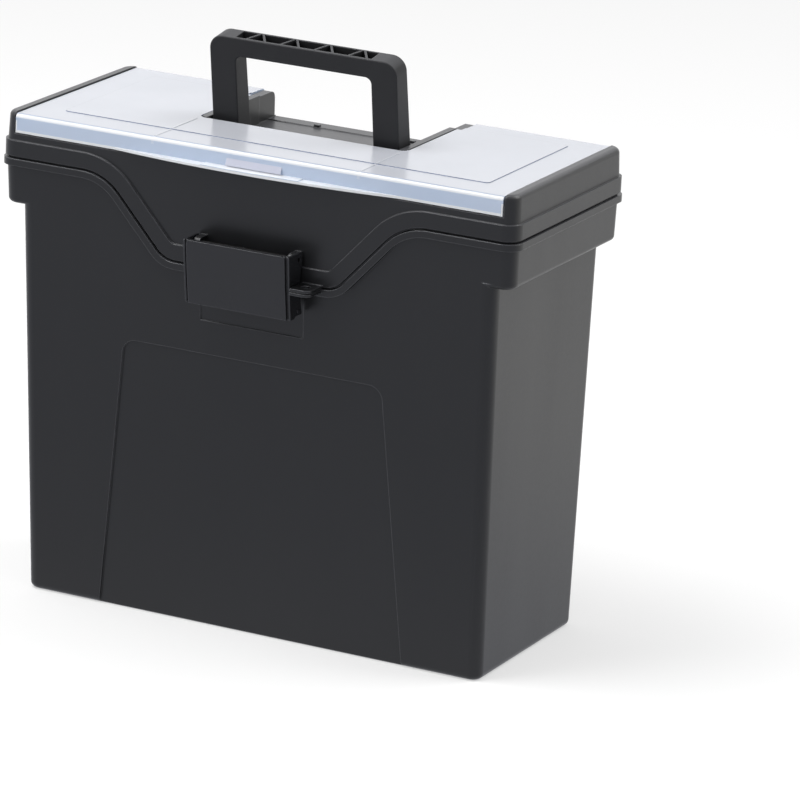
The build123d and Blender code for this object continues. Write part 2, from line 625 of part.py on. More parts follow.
def lid_knuckle(site):
    """The lid's knuckle at one hinge, on a web from the rear band."""
    x0 = site - HINGE_LID_KNUCKLE / 2
    x1 = site + HINGE_LID_KNUCKLE / 2
    knuckle = rod(HINGE_RADIUS, x0, x1, HINGE_Y, HINGE_Z)
    knuckle += block(x0, x1, LID_INNER_Y, BAND_Y, HINGE_Z, HINGE_Z + HINGE_RELIEF + WALL)
    return knuckle - rod(HINGE_PIN_RADIUS + RUNNING, x0 - OVERCUT, x1 + OVERCUT, HINGE_Y, HINGE_Z)


def shadow_groove():
    """Groove all round between the band and the flange of the tub."""
    half_x = BAND_X - SHADOW_DEPTH
    half_y = BAND_Y - SHADOW_DEPTH
    top = PARTING_Z + SHADOW_GAP
    low = PARTING_Z - OVERCUT
    high = top + OVERCUT
    ring = rounded_block(RIM_X + PAST, RIM_Y + PAST, CORNER, PARTING_Z, top)
    ring -= rounded_block(half_x, half_y, CORNER, low, high)
    ring -= block(-DIP_REACH, DIP_REACH, -RIM_Y - 2 * PAST, 0, low, high)
    front = front_prism(above_parting(0) - above_parting(SHADOW_GAP), -RIM_Y - PAST, -half_y)
    return ring + (front & block(-DIP_REACH, DIP_REACH, -RIM_Y - PAST, 0, 0, HEIGHT))


def make_lid():
    """The moulded lid with its organiser tray, handle well and apron."""
    lid = lid_outside() & parting_cutter(SEAT_GAP)
    lid = lid - lid_under() - tray_pockets() - cover_space() - handle_well() - well_wall_trim()
    lid = lid - shadow_groove() - rod(HINGE_RELIEF, -LENGTH, LENGTH, HINGE_Y, HINGE_Z)
    lid = lid + handle_lugs() + sill_nibs() + latch_lugs() + padlock_ear(DIP_FLOOR + 2 * SEAT_GAP)
    for site in HINGE_SITES:
        lid = lid + lid_knuckle(site)
    inner, outer = handle_pin_span()
    lid = lid - mirrored(rod(HANDLE_PIN_RADIUS, inner - OVERCUT, outer, PIVOT_Y, PIVOT_Z))
    return lid - cover_bores()


# ---- organiser cover ------------------------------------------------------------------------------
def cover_outline(inset):
    """U-shaped plan of the cover, inset from its edges."""
    x = COVER_X - inset
    front = COVER_FRONT + inset
    rear = BARREL_Y - inset
    well_x = WELL_OUTER_X + COVER_WELL_GAP + inset
    ear_x = EAR_OUTER_X + COVER_WELL_GAP + inset
    well_y = WELL_FRONT - inset
    ear_y = EAR_FRONT - COVER_WELL_GAP - inset
    return outline(
        (-x, front), (x, front), (x, rear), (ear_x, rear), (ear_x, ear_y), (well_x, ear_y), (well_x, well_y),
        (-well_x, well_y), (-well_x, ear_y), (-ear_x, ear_y), (-ear_x, rear), (-x, rear),
    )


def round_well_corners(plan, radius):
    """Rounds the two inner corners at the front of the well."""
    corners = [v for v in plan.vertices() if abs(v.X) < EAR_OUTER_X and abs(v.Y - WELL_FRONT) < COVER_CORNER]
    return fillet(corners, radius)


def cover_sheet():
    """Flat sheet with its raised panel and the turned-down front lip."""
    plan = round_well_corners(cover_outline(0), COVER_CORNER)
    sheet = extrude(Pos(0, 0, COVER_UNDER) * plan, amount=COVER_SHEET)
    lip = block(-COVER_X, COVER_X, COVER_FRONT, COVER_FRONT + COVER_SHEET, LIP_BOTTOM, COVER_TOP)
    cover = sheet + lip
    top_front = cover.edges().filter_by(Axis.X).group_by(Axis.Y)[0].sort_by(Axis.Z)[-1]
    cover = fillet(top_front, COVER_EDGE)
    return cover + raised_panel()


def raised_panel():
    """Slightly raised panel that runs up to the well's edges."""
    half_x = COVER_X - BORDER_SIDE
    front = COVER_FRONT + BORDER_FRONT
    rear = BARREL_Y - BORDER_REAR
    plan = Pos(0, (front + rear) / 2) * RectangleRounded(2 * half_x, rear - front, PANEL_CORNER_ROUND)
    plan = plan & round_well_corners(cover_outline(0), COVER_CORNER)
    return extrude(Pos(0, 0, COVER_TOP - PANEL_PROUD) * plan, amount=2 * PANEL_PROUD)


def cover_barrels():
    """Hinge barrels along the rear edge, each with a stub pin at both ends."""
    inner = EAR_OUTER_X + COVER_WELL_GAP
    barrel = rod(BARREL_RADIUS, inner, COVER_X, BARREL_Y, BARREL_Z)
    pins = rod(STUB_RADIUS, inner - STUB_LENGTH, COVER_X + STUB_LENGTH, BARREL_Y, BARREL_Z)
    return mirrored(barrel + pins)


def finger_pull():
    """Crescent flange at the foot of the lip, thicker at its middle."""
    half = PULL_WIDTH / 2
    rise = PULL_REACH + COVER_SHEET / 2
    chord_y = COVER_FRONT + COVER_SHEET / 2
    bow = ThreePointArc((-half, chord_y), (0, chord_y - rise), (half, chord_y))
    plan = make_face(bow + Line((half, chord_y), (-half, chord_y)))
    flange = extrude(Pos(0, 0, LIP_BOTTOM) * plan, amount=PULL_THICK)
    pad = extrude(Pos(0, 0, LIP_BOTTOM) * plan, amount=PULL_THICK + PULL_PAD_HEIGHT)
    pad_half = PULL_PAD_WIDTH / 2
    return flange + (pad & block(-pad_half, pad_half, -RIM_DEPTH, 0, 0, HEIGHT))


def catch_pad():
    """Sloping pad at the middle of the lip."""
    top = COVER_TOP - CATCH_TOP_DROP
    low = top - CATCH_HEIGHT
    back = COVER_FRONT + COVER_SHEET / 2
    return side_prism(outline(
        (back, top), (COVER_FRONT, top), (COVER_FRONT - CATCH_PROUD, low), (back, low),
    ), -CATCH_WIDTH / 2, CATCH_WIDTH / 2)


def cover_ribs():
    """Stiffening ribs, from the well's front corners to the lip, that show as beads on top."""
    x0 = WELL_OUTER_X - RIB_THICK
    front = COVER_FRONT + COVER_EDGE
    rear = WELL_FRONT - COVER_CORNER
    panel_front = COVER_FRONT + BORDER_FRONT
    low = COVER_UNDER - RIB_HEIGHT
    tray_back = WELL_FRONT - WALL
    rib = block(x0, x0 + RIB_THICK, TRAY_FRONT + RIB_END_GAP, tray_back - RIB_END_GAP, low, COVER_TOP)
    rib += block(x0, x0 + RIB_THICK, front, rear, COVER_UNDER, COVER_TOP + RIB_BEAD)
    rib += block(x0, x0 + RIB_THICK, panel_front, rear, COVER_UNDER, COVER_TOP + PANEL_PROUD + RIB_BEAD)
    return mirrored(rib)


def make_cover():
    """The clear organiser cover."""
    return cover_sheet() + cover_barrels() + finger_pull() + catch_pad() + cover_ribs()


# ---- handle ---------------------------------------------------------------------------------------
def handle_upright():
    """The handle standing straight up, with its pivot at the origin."""
    half = HANDLE_WIDTH / 2
    inner = half - LEG_WIDTH
    heel = HANDLE_DEPTH / 2
    frame = outline((-half, -heel), (half, -heel), (half, HANDLE_HEIGHT), (-half, HANDLE_HEIGHT))
    frame = fillet(frame.vertices().group_by(Axis.Y)[-1], HANDLE_ROUND)
    opening = outline(
        (-inner, -2 * heel), (inner, -2 * heel),
        (inner, HANDLE_HEIGHT - GRIP_HEIGHT), (-inner, HANDLE_HEIGHT - GRIP_HEIGHT),
    )
    opening = fillet(opening.vertices().group_by(Axis.Y)[-1], HANDLE_INNER_ROUND)
    rear = heel + LEG_FLARE * (1 + heel / HANDLE_HEIGHT)
    side = outline((-heel, -heel), (-heel, HANDLE_HEIGHT), (heel, HANDLE_HEIGHT), (rear, -heel))
    bail = front_prism(frame - opening, -heel, rear) & side_prism(side, -half, half)
    faces = bail.faces().sort_by(Axis.Y)
    rims = faces[0].edges() + faces[-1].edges()
    bail = fillet([edge for edge in rims if edge.center().Z > 0], HANDLE_EDGE)
    foot = block(-half - OVERCUT, half + OVERCUT, -2 * heel, 2 * heel, -2 * heel, 0)
    return bail - (foot - rod(heel + LEG_FLARE / 2, -HANDLE_WIDTH, HANDLE_WIDTH, LEG_FLARE / 2, 0))


def truss():
    """Pocket in the top of the grip, with V-shaped pairs of ribs left standing in it."""
    half = TRUSS_LENGTH / 2
    side = HANDLE_DEPTH / 2 - TRUSS_WALL
    low = HANDLE_HEIGHT - TRUSS_DEPTH
    pocket = block(-half, half, -side, side, low, HANDLE_HEIGHT + PAST)
    pitch = TRUSS_LENGTH / TRUSS_PAIRS
    for index in range(TRUSS_PAIRS):
        middle = -half + pitch * (index + 0.5) + TRUSS_SHIFT
        for hand in (-1, 1):
            foot = (middle + hand * TRUSS_SPREAD / 2, -side)
            head = (middle - TRUSS_LEAN + hand * TRUSS_APEX / 2, side)
            pocket -= truss_rib(foot, head, low)
    return pocket


def truss_rib(start, end, low):
    """One upright rib between two points of the pocket's walls."""
    across = end[0] - start[0]
    along = end[1] - start[1]
    plan = Rot(0, 0, degrees(atan2(along, across))) * SlotCenterToCenter(hypot(across, along), TRUSS_RIB)
    return extrude(Pos((start[0] + end[0]) / 2, 0, low) * plan, amount=TRUSS_DEPTH)


def make_handle():
    """The carry handle, leaning forward on its pivot as it stands."""
    handle = handle_upright() - truss()
    handle -= rod(HANDLE_PIN_RADIUS + RUNNING, -HANDLE_WIDTH, HANDLE_WIDTH, 0, 0)
    return Pos(0, PIVOT_Y, PIVOT_Z) * Rot(HANDLE_LEAN, 0, 0) * handle


# ---- latch ----------------------------------------------------------------------------------------
def latch_fronts(inset):
    """Front line of the latch, inset from its face, from top to bottom."""
    face = LATCH_FACE + inset
    return [(face, LATCH_TOP), (face + LATCH_LEAN, LATCH_FOLD), (face + LATCH_TUCK, LATCH_BOTTOM)]


def latch_face_y(z):
    """The face's place, front to back, at a height below the fold."""
    run = (LATCH_TUCK - LATCH_LEAN) / (LATCH_FOLD - LATCH_BOTTOM)
    return LATCH_FACE + LATCH_LEAN + (LATCH_FOLD - z) * run


def latch_sides():
    """Block with the outline of the side walls, whose rear edges follow lid and tub."""
    rear = LATCH_SIDE_REAR
    heel = -(LID_Y + LATCH_HEEL_GAP)
    skirt = rear + LATCH_SKIRT_REACH
    toe = LATCH_BOTTOM + LATCH_TOE
    step_y = (LATCH_FACE + LATCH_TUCK + rear) / 2
    side = outline(
        *latch_fronts(LATCH_SIDE_BACK), (step_y, LATCH_BOTTOM), (step_y + LATCH_TOE, toe),
        (skirt, toe), (skirt, toe + LATCH_TOE), (rear, DIP_FLOOR - FLANGE_HEIGHT - LATCH_REAR_GAP),
        (rear, DIP_FLOOR + BAND_HEIGHT), (heel, DIP_FLOOR + BAND_HEIGHT + LATCH_REAR_GAP),
        (heel, LATCH_TOP - LATCH_HEEL_CHAMFER), (heel - LATCH_HEEL_CHAMFER, LATCH_TOP),
    )
    return side_prism(side, -LATCH_WIDTH / 2, LATCH_WIDTH / 2)


def latch_plate():
    """Face plate, proud of the side walls and set off from them by a gap."""
    fronts = latch_fronts(0)
    backs = latch_fronts(LATCH_SHEET)
    slab = side_prism(outline(*fronts, backs[2], backs[1], backs[0]), -LATCH_WIDTH / 2, LATCH_WIDTH / 2)
    half = LATCH_WIDTH / 2 - LATCH_SIDE - LATCH_GROOVE
    face = Rectangle(2 * half, 2 * (LATCH_TOP - LATCH_BOTTOM))
    face = fillet(face.vertices().group_by(Axis.Y)[-1], LATCH_PLATE_ROUND)
    return slab & front_prism(Pos(0, LATCH_BOTTOM) * face, LATCH_FACE - OVERCUT, 0)


def latch_hollow():
    """Space behind the face plate, between the side walls."""
    top, fold, _ = latch_fronts(LATCH_SHEET)
    low = LATCH_BOTTOM - PAST
    high = LATCH_TOP + PAST
    hollow = outline(
        (top[0], high), top, fold, (latch_face_y(low) + LATCH_SHEET, low), (0, low), (0, high),
    )
    return side_prism(hollow, -LATCH_WIDTH / 2 + LATCH_SIDE, LATCH_WIDTH / 2 - LATCH_SIDE)


def latch_gap():
    """Gap that sets the face plate off from the side walls."""
    top, fold, foot = latch_fronts(LATCH_GROOVE_DEPTH)
    outer = LATCH_WIDTH / 2 - LATCH_SIDE
    front = LATCH_FACE - OVERCUT
    gap = side_prism(outline(
        (front, LATCH_TOP + OVERCUT), (front, LATCH_BOTTOM - OVERCUT), (foot[0], LATCH_BOTTOM - OVERCUT),
        foot, fold, top, (top[0], LATCH_TOP + OVERCUT),
    ), outer - LATCH_GROOVE, outer)
    return mirrored(gap)


def latch_nubs():
    """Small nub low on each side wall."""
    outer = LATCH_WIDTH / 2
    nub_z = LATCH_BOTTOM + LATCH_NUB_RISE
    nub_y = LATCH_SIDE_REAR - LATCH_NUB_INSET
    return mirrored(rod(LATCH_NUB_RADIUS, outer - LATCH_SIDE / 2, outer + LATCH_NUB_HEIGHT, nub_y, nub_z))


def latch_snap():
    """Ridge behind the face plate that rides over the keeper's wedge."""
    low = KEEPER_BOTTOM + SNAP_GAP
    high = low + SNAP_HEIGHT
    nose = -(RIM_Y + KEEPER_NOSE)

    def wedge(z):
        return nose + (KEEPER_TOP - z) * KEEPER_SLOPE - SNAP_GAP

    root = LATCH_SHEET / 2
    ridge = outline(
        (latch_face_y(low) + root, low), (wedge(low), low),
        (wedge(high), high), (latch_face_y(high) + root, high),
    )
    return side_prism(ridge, -KEEPER_WIDTH / 2, KEEPER_WIDTH / 2)


def make_latch():
    """The over-lapping latch that hangs from the apron."""
    latch = latch_sides() - latch_hollow() + latch_plate() - latch_gap() + latch_snap() + latch_nubs()
    return latch - rod(LATCH_PIN_RADIUS, -LATCH_WIDTH, LATCH_WIDTH, LATCH_PIVOT_Y, LATCH_PIVOT_Z)


# ---- pins -----------------------------------------------------------------------------------------
def make_latch_pin():
    """Steel pin of the latch, flush with its side walls."""
    return rod(LATCH_PIN_RADIUS, -LATCH_WIDTH / 2, LATCH_WIDTH / 2, LATCH_PIVOT_Y, LATCH_PIVOT_Z)


def make_handle_pin(side):
    """Steel pin of one handle leg."""
    inner, outer = handle_pin_span()
    x0, x1 = sorted((side * inner, side * outer))
    return rod(HANDLE_PIN_RADIUS, x0, x1, PIVOT_Y, PIVOT_Z)


def make_hinge_pin(site):
    """Steel pin of one lid hinge."""
    return rod(HINGE_PIN_RADIUS, site - HINGE_LENGTH / 2, site + HINGE_LENGTH / 2, HINGE_Y, HINGE_Z)


PIECES = {
    "tub": make_tub(),
    "lid": make_lid(),
    "organiser_cover": make_cover(),
    "carry_handle": make_handle(),
    "latch": make_latch(),
    "latch_pin": make_latch_pin(),
    "handle_pin_left": make_handle_pin(-1),
    "handle_pin_right": make_handle_pin(1),
    "lid_hinge_pin_left": make_hinge_pin(HINGE_SITES[0]),
    "lid_hinge_pin_right": make_hinge_pin(HINGE_SITES[1]),
}

os.makedirs("parts", exist_ok=True)
for node, shape in PIECES.items():
    export_step(shape, f"parts/{node}.step")
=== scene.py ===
"""Portable file box: finish, light and camera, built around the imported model.

Metres, in the model's own frame: +Z up, +X to the right seen from the front, -Y to the front.
"""
from math import cos, radians, sin

import bpy
from mathutils import Matrix, Vector

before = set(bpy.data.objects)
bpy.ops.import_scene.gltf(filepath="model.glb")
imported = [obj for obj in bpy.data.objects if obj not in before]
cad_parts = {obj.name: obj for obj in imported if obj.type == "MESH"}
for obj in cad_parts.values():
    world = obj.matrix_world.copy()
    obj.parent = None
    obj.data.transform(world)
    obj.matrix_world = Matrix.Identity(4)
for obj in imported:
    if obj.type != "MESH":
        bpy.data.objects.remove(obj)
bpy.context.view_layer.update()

WHITE = (1.0, 1.0, 1.0, 1.0)

# ---- camera ---------------------------------------------------------------------------------------
AZIMUTH = 26.283          # round from the front towards the right, degrees
ELEVATION = 16.792
ROLL = 2.668
DISTANCE = 3.348775
PAN = Vector((0.057081, -0.018333))   # camera's place to the right of and above the line to AIM
AIM = Vector((0.0, 0.0, 0.150))
LENS = 253.25
SENSOR = 36.0
FAR_CLIP = 100.0

# ---- surroundings ---------------------------------------------------------------------------------
FLOOR_HALF = 12.0
FLOOR_SHADE = 0.58        # the floor's own colour
FLOOR_GLOW = 0.43         # what the camera sees added to the lit floor
ROOM_SHADE = 0.55         # soft light from all round
GLOSS_FRONT = (0.61, 0.63, 0.70, 1.0)  # the darker room in front, as gloss shows it
GLOSS_TURN = (-0.45, 0.15)  # from dark to bright, by direction from front to back
FLOOR_TURN = (-0.25, 0.45)  # the same on the floor, in metres from front to back

# Each lamp: name, place, the point that it faces, width, height, watts.
LAMPS = (("key", (1.6, 1.0, 2.2), (0.0, 0.0, 0.2), 1.6, 1.6, 26.0),
         ("overhead", (-0.6, -0.5, 1.9), (0.0, 0.0, 0.25), 1.2, 0.9, 20.0),
         ("fill", (-1.8, -1.6, 1.4), (0.0, 0.0, 0.15), 1.4, 1.4, 14.0))

# ---- patterns and edges, for every finish ---------------------------------------------------------
NOISE_SPAN = (0.3, 0.7)   # the range that most of a noise pattern keeps to
EDGE_SAMPLES = 6
EDGE_TURN = (0.995, 0.86)  # how far the eased normal leaves the face's own, as a cosine
CREVICE_SAMPLES = 8
GRAIN_HEIGHT = 0.0001
GRAIN_ROUGHNESS = 0.6
PLASTIC_INDEX = 1.5

# ---- moulded plastic: patterns in cells to the metre, lengths in metres ---------------------------
CLOUD_SCALE = 9.0         # broad mottle
CLOUD_DETAIL = 3.0        # layers of finer noise in it
FLOW_SCALE = 34.0         # faint flow marks
FLOW_DETAIL = 4.0
FLOW_DRAW = (1.0, 1.0, 0.16)  # which are drawn out upwards
SPECK_SCALE = 420.0       # uneven wear and roughness, and uneven painted edge highlight
GRAIN_SCALE = 1500.0      # spark-eroded grain
BROAD_SHARE = 0.6         # the broader pattern's share, where two lie together
MOTTLE = 0.1              # how far the shade wanders either way
EDGE_RADIUS = 0.0009      # the easing of an edge
CREVICE_REACH = 0.0016    # how far round an inner corner the painted shade reaches
CREVICE_PAINTED_SHADE = 0.3       # what painted shade leaves of the colour there
CREVICE_SPAN = (0.05, 0.45)  # openness, from the darkest painted shade to the plain colour
HIGHLIGHT_WEAR_SPAN = (0.6, 0.8)    # openness, from no painted edge highlight or wear to full
SPECK_SPAN = (0.35, 0.65)
SPECK_HIGHLIGHT_WEAR = (0.7, 1.0)   # painted edge highlight and wear along an edge, least and most
ROUGH_SPREAD = 0.04       # how far roughness wanders either way
POLISH = 0.08             # how much smoother a worn edge is

# Faces that look up, or sideways on the front, are painted paler: painted light, as from above and
# from the right.
UP_FACE = (0.5, 0.85)     # how far up a face looks, from none to all of the painted light
SIDE_FACE = (0.3, 0.6)    # the same, sideways
PAINTED_LIGHT_HOLDS = 0.8          # how much of the painted light a crevice's painted shade leaves
RIM_FRONT = -0.0764       # not in front of this, on the ears for a padlock
LATCH_HALF = 0.0325       # nor between the latch's lugs, side to side
LUG_BACK = -0.0600        # which lie in front of this
PANEL_HALF = 0.1400       # the shallow steps on the front lie within this, side to side
PANEL_TOP = 0.2120        # and below this

# ---- organiser cover: its tints and painted light, and the heights and places that they follow ----
# The lip's blue is partly the sheet's own tint and partly painted shade; the bend's white is a painted
# highlight, and the bend line a painted dark line just short of flat.
LIP_BLUE = (0.60, 0.71, 0.90, 1.0)
BEND_WHITE = (0.95, 0.97, 1.0, 1.0)
BEND_LINE = (0.40, 0.46, 0.58, 1.0)
SHEET_WHITE = (0.64, 0.66, 0.72, 1.0)
# painted shade on the upright steps of the raised panel
STEP_PAINTED_SHADE = (0.22, 0.27, 0.40, 1.0)
# painted light on the catch pad's sloping faces, paler than the lip
CATCH_GREY = (0.66, 0.68, 0.80, 1.0)
MILK_WHITE = (0.95, 0.96, 1.0, 1.0)
MILK_MOST = 0.12          # the most that the milky clouds show
# Painted light by how level a face lies, from 0 upright to 1 flat, where it is SHEET_WHITE.
LEVEL_TINTS = ((0.10, LIP_BLUE), (0.25, BEND_WHITE), (0.80, BEND_WHITE),
               (0.93, BEND_LINE), (0.985, BEND_LINE))
SLOPING = 0.2             # at least so level
UPRIGHT = 0.5             # at most so level
FLAT = 0.9                # at least so level
STEP_Z = 0.2968           # above this, only the edges of the raised panel stand upright
STEP_BACK = 0.0600        # behind the raised panel lie the hinge barrels
BEND_Z = 0.2930           # below this lie the flat lip, the catch pad and the finger pull
LIP_END = 0.1588          # the lip's last millimetre at each end
LIP_FOOT = 0.2872         # top of the finger pull's flange
RIB_X = 0.0675            # ribs under the sheet, left and right of the middle
RIB_HALF = 0.0009
RIB_BACK = -0.0200
RIB_SHOWS = 0.28          # how much of a rib shows through
COVER_CLOUD_SCALE = 14.0
COVER_GRAIN_SCALE = 1100.0
COVER_EDGE_RADIUS = 0.0004
COVER_GRAIN = 0.12
COVER_ROUGHNESS = (0.19, 0.25)
COVER_CLEAR = 0.2         # share of light that passes through

# ---- steel wire -----------------------------------------------------------------------------------
WIRE_DRAW = (12.0, 1.0, 1.0)  # drawing lines run round the pin
WIRE_SCALE = 300.0
WIRE_DETAIL = 3.0
WIRE_SPREAD = 0.07
WIRE_CONTRAST = 0.12
WIRE_WARMTH = 0.01        # the lighter lines are this much warmer


def place_camera():
    """The camera at its viewing angle, a long lens from far back."""
    azimuth, elevation, roll = (radians(angle) for angle in (AZIMUTH, ELEVATION, ROLL))
    back = Vector((sin(azimuth) * cos(elevation), -cos(azimuth) * cos(elevation), sin(elevation)))
    right = Vector((cos(azimuth), sin(azimuth), 0.0))
    up = back.cross(right)
    rolled_right = right * cos(roll) + up * sin(roll)
    rolled_up = up * cos(roll) - right * sin(roll)
    place = AIM + rolled_right * PAN.x + rolled_up * PAN.y + back * DISTANCE
    data = bpy.data.cameras.new("camera")
    data.lens = LENS
    data.sensor_width = SENSOR
    data.clip_end = FAR_CLIP
    camera = bpy.data.objects.new("camera", data)
    turn = Matrix((rolled_right, rolled_up, back)).transposed().to_4x4()
    camera.matrix_world = Matrix.Translation(place) @ turn
    bpy.context.scene.collection.objects.link(camera)
    bpy.context.scene.camera = camera


# ---- material helpers -----------------------------------------------------------------------------
class Nodes:
    """A material's node tree, with short ways to add and join its nodes."""

    def __init__(self, tree):
        self.tree = tree
        tree.nodes.clear()

    def add(self, kind, settings=None, **inputs):
        """A node whose inputs are numbers, colours or other nodes' outputs."""
        node = self.tree.nodes.new(kind)
        for name, value in (settings or {}).items():
            setattr(node, name, value)
        for name, value in inputs.items():
            self.join(node.inputs[name.replace("_", " ")], value)
        return node

    def join(self, socket, value):
        """Sets a socket, or links it where the value is an output."""
        if isinstance(value, bpy.types.NodeSocket):
            self.tree.links.new(value, socket)
        else:
            socket.default_value = value

    def math(self, operation, first, second=0.0):
        """The result of one sum."""
        node = self.tree.nodes.new("ShaderNodeMath")
        node.operation = operation
        self.join(node.inputs[0], first)
        self.join(node.inputs[1], second)
        return node.outputs[0]

    def product(self, first, *others):
        """Masks and numbers multiplied together."""
        for other in others:
            first = self.math("MULTIPLY", first, other)
        return first

    def scaled(self, value, low, high, to_low, to_high):
        """A value carried from one range to another, and held at its ends."""
        node = self.tree.nodes.new("ShaderNodeMapRange")
        for name, number in (("Value", value), ("From Min", low), ("From Max", high),
                             ("To Min", to_low), ("To Max", to_high)):
            self.join(node.inputs[name], number)
        return node.outputs["Result"]

    def fade(self, value, start, end):
        """A mask: 0 at the start, 1 at the end, and even between."""
        return self.scaled(value, start, end, 0.0, 1.0)

    def spread(self, pattern, low, high):
        """A noise pattern's usual range carried to another."""
        return self.scaled(pattern, *NOISE_SPAN, low, high)

    def together(self, broad, fine):
        """Two patterns laid together."""
        return self.math("ADD", self.product(broad, BROAD_SHARE), self.product(fine, 1 - BROAD_SHARE))

    def blend(self, factor, first, second):
        """Two colours mixed."""
        node = self.tree.nodes.new("ShaderNodeMix")
        node.data_type = "RGBA"
        self.join(node.inputs[0], factor)
        self.join(node.inputs[6], first)
        self.join(node.inputs[7], second)
        return node.outputs[2]

    def shader_pair(self, kind, *shaders):
        """Two shaders added or mixed; a mix has its factor first."""
        node = self.tree.nodes.new(kind)
        for socket, value in zip(node.inputs, shaders):
            self.join(socket, value)
        return node.outputs[0]

    def apart(self, vector):
        """A vector's X, Y and Z."""
        return self.add("ShaderNodeSeparateXYZ", None, Vector=vector).outputs

    def place(self):
        """Object coordinates."""
        return self.add("ShaderNodeTexCoord").outputs["Object"]

    def facing(self):
        """Which way a face points, in the piece's own frame, so that it turns with the piece."""
        flat = self.add("ShaderNodeNewGeometry").outputs["True Normal"]
        frames = {"vector_type": "NORMAL", "convert_from": "WORLD", "convert_to": "OBJECT"}
        return self.apart(self.add("ShaderNodeVectorTransform", frames, Vector=flat).outputs[0])

    def noise(self, place, scale, detail=2.0, roughness=0.5):
        """Noise in object coordinates, in cells to the metre."""
        node = self.add("ShaderNodeTexNoise", None, Vector=place, Scale=scale,
                        Detail=detail, Roughness=roughness)
        return node.outputs["Fac"]

    def drawn_out(self, place, draw, scale, detail):
        """Noise that is stretched along one axis."""
        stretched = self.add("ShaderNodeMapping", None, Vector=place, Scale=draw).outputs[0]
        return self.noise(stretched, scale, detail)

    def openness(self, reach):
        """How open the surface is within a short reach: 1 in the open, half in an inner corner."""
        samples = {"samples": CREVICE_SAMPLES}
        return self.add("ShaderNodeAmbientOcclusion", samples, Distance=reach).outputs["AO"]

    def rounded_edges(self, radius):
        """The surface's normal with its edges eased, and a mask that is 1 on those edges."""
        eased = self.add("ShaderNodeBevel", {"samples": EDGE_SAMPLES}, Radius=radius).outputs["Normal"]
        flat = self.add("ShaderNodeNewGeometry").outputs["True Normal"]
        product = self.add("ShaderNodeVectorMath", {"operation": "DOT_PRODUCT"})
        self.join(product.inputs[0], eased)
        self.join(product.inputs[1], flat)
        return eased, self.fade(product.outputs["Value"], *EDGE_TURN)

    def finish(self, colour, rough, normal=None, **constants):
        """The surface and the output; constants go on the surface's own sockets."""
        surface = self.add("ShaderNodeBsdfPrincipled", None, Base_Color=colour, Roughness=rough)
        if normal is not None:
            self.join(surface.inputs["Normal"], normal)
        for name, value in constants.items():
            surface.inputs[name.replace("_", " ")].default_value = value
        self.output(surface.outputs[0])

    def output(self, shader):
        """Joins the last shader to the material's output."""
        self.add("ShaderNodeOutputMaterial", None, Surface=shader)

    def grain(self, place, scale, strength, normal):
        """A fine grain on the surface's normal."""
        height = self.noise(place, scale, roughness=GRAIN_ROUGHNESS)
        bump = self.add("ShaderNodeBump", None, Strength=strength, Distance=GRAIN_HEIGHT,
                        Height=height, Normal=normal)
        return bump.outputs[0]


def new_material(name):
    """A fresh node material."""
    material = bpy.data.materials.new(name)
    material.use_nodes = True
    return material, Nodes(material.node_tree)


def grey(value, warm=0.0):
    """A near-grey colour, in linear values, a little warm or cool."""
    return (value * (1 + warm), value, value * (1 - warm), 1.0)


def shaded(colour, factor):
    """A colour made darker or lighter."""
    return (colour[0] * factor, colour[1] * factor, colour[2] * factor, 1.0)


# ---- finishes -------------------------------------------------------------------------------------
def painted_light_faces(nodes, place):
    """A mask of painted light: ledges and tops away from the latch, and the sides of the front's
    steps.
    """
    facing = nodes.facing()
    spot = nodes.apart(place)
    across = nodes.math("ABSOLUTE", spot["X"])
    on_rim = nodes.math("GREATER_THAN", spot["Y"], RIM_FRONT)
    off_lugs = nodes.math("MAXIMUM", nodes.math("GREATER_THAN", across, LATCH_HALF),
                          nodes.math("GREATER_THAN", spot["Y"], LUG_BACK))
    upward = nodes.product(nodes.fade(facing["Z"], *UP_FACE), on_rim, off_lugs)
    between = nodes.math("LESS_THAN", across, PANEL_HALF)
    ahead = nodes.math("LESS_THAN", spot["Y"], LUG_BACK)
    below = nodes.math("LESS_THAN", spot["Z"], PANEL_TOP)
    sideways = nodes.product(nodes.fade(facing["X"], *SIDE_FACE), between, ahead, below)
    return nodes.math("MAXIMUM", upward, sideways)


